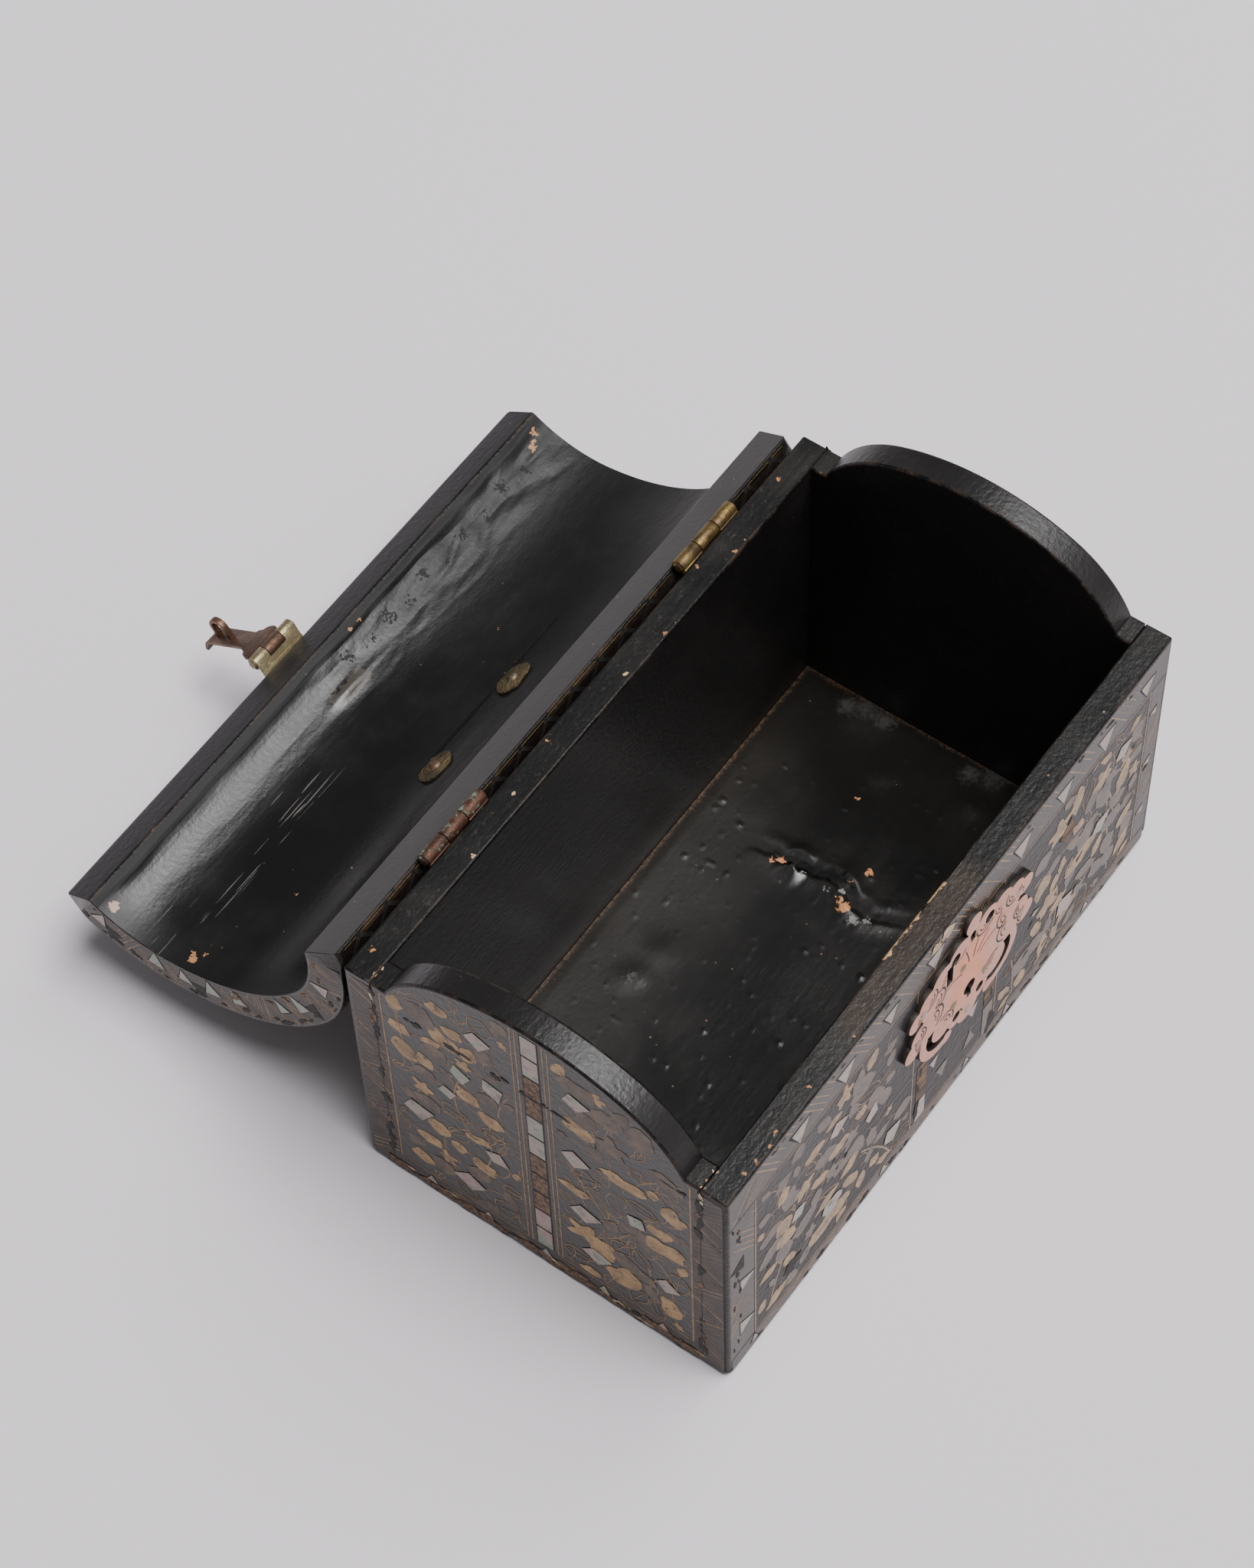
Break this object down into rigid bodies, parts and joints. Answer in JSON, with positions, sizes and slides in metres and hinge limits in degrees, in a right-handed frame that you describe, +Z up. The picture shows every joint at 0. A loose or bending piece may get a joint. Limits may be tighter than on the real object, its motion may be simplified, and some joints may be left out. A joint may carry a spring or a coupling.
{
  "type": "lacquer coffer",
  "caption": "Small lacquered wooden coffer with a barrel-vaulted lid hinged at the back and lying open, a leafy lock plate with a sliding bolt, a swinging hasp and a drop handle.",
  "frame": {"origin": "middle of the underside of the bottom board, the face the coffer stands on", "axes": "+X along the length to the right as seen from the front, +Y from the lock front to the hinged back, +Z up"},
  "size_m": [0.226, 0.278, 0.135],
  "materials": {
    "lacquered_wood": "worn black lacquer with gold painting and shell inlay",
    "peg_wood": "raw softwood, lacquered over at the ends",
    "hinge_copper": "copper sheet with green patina in the corners",
    "hinge_brass": "worn gilt copper sheet",
    "copper_nails": "hammered copper heads",
    "lock_copper": "pale rubbed copper with engraved lines",
    "lock_iron": "dark forged iron",
    "hasp_brass": "greenish brass, rubbed bright on the knuckles",
    "hasp_copper": "dark copper with rusty patches",
    "handle_copper": "dark copper rubbed bright on the bend",
    "clench_brass": "dull brass"
  },
  "bodies": {
    "coffer": {"bottom_board": "lacquered_wood", "front_board": "lacquered_wood", "back_board": "lacquered_wood", "left_end_board": "lacquered_wood", "right_end_board": "lacquered_wood", "corner_pegs": "peg_wood", "bottom_pegs": "peg_wood", "left_hinge_wall_leaf": "hinge_copper", "right_hinge_wall_leaf": "hinge_brass", "left_hinge_pin": "hinge_copper", "right_hinge_pin": "hinge_brass", "hinge_wall_nails": "copper_nails", "lock_plate": "lock_copper", "lock_plate_nails": "copper_nails", "lock_case": "lock_iron", "lock_case_rivets": "hasp_brass", "bolt_spring": "lock_iron", "key_post": "lock_iron"},
    "lid": {"lid_front_rail": "lacquered_wood", "lid_front_shoulder_stave": "lacquered_wood", "lid_front_crown_stave": "lacquered_wood", "lid_ridge_stave": "lacquered_wood", "lid_back_crown_stave": "lacquered_wood", "lid_back_shoulder_stave": "lacquered_wood", "lid_back_rail": "lacquered_wood", "left_hinge_lid_leaf": "hinge_copper", "right_hinge_lid_leaf": "hinge_brass", "hinge_lid_nails": "copper_nails", "hasp_lid_plate": "hasp_brass", "hasp_plate_nails": "copper_nails", "hasp_pin": "hasp_brass", "left_handle_post": "handle_copper", "right_handle_post": "handle_copper", "left_handle_rosette": "handle_copper", "right_handle_rosette": "handle_copper", "left_handle_clench_plate": "clench_brass", "right_handle_clench_plate": "clench_brass"},
    "hasp": {"hasp_strap": "hasp_copper", "hasp_staple": "hasp_copper"},
    "lock_bolt": {"lock_bolt": "lock_iron"},
    "handle": {"handle_bail": "handle_copper"}
  },
  "joints": [
    {"name": "lid_hinge", "type": "hinge", "parent": "coffer", "child": "lid", "pos_m": [0.003, 0.0676, 0.1081], "axis": [1, 0, 0], "range_deg": [0, 212]},
    {"name": "hasp_hinge", "type": "hinge", "parent": "lid", "child": "hasp", "pos_m": [-0.005, 0.18416, 0.03951], "axis": [1, 0, 0], "range_deg": [-80, 90]},
    {"name": "bolt_slide", "type": "slide", "parent": "coffer", "child": "lock_bolt", "axis": [-1, 0, 0], "range_m": [0, 0.006]},
    {"name": "handle_swing", "type": "hinge", "parent": "lid", "child": "handle", "pos_m": [0.003, 0.10124, 0.03437], "axis": [1, 0, 0], "range_deg": [-127, 63]}
  ]
}
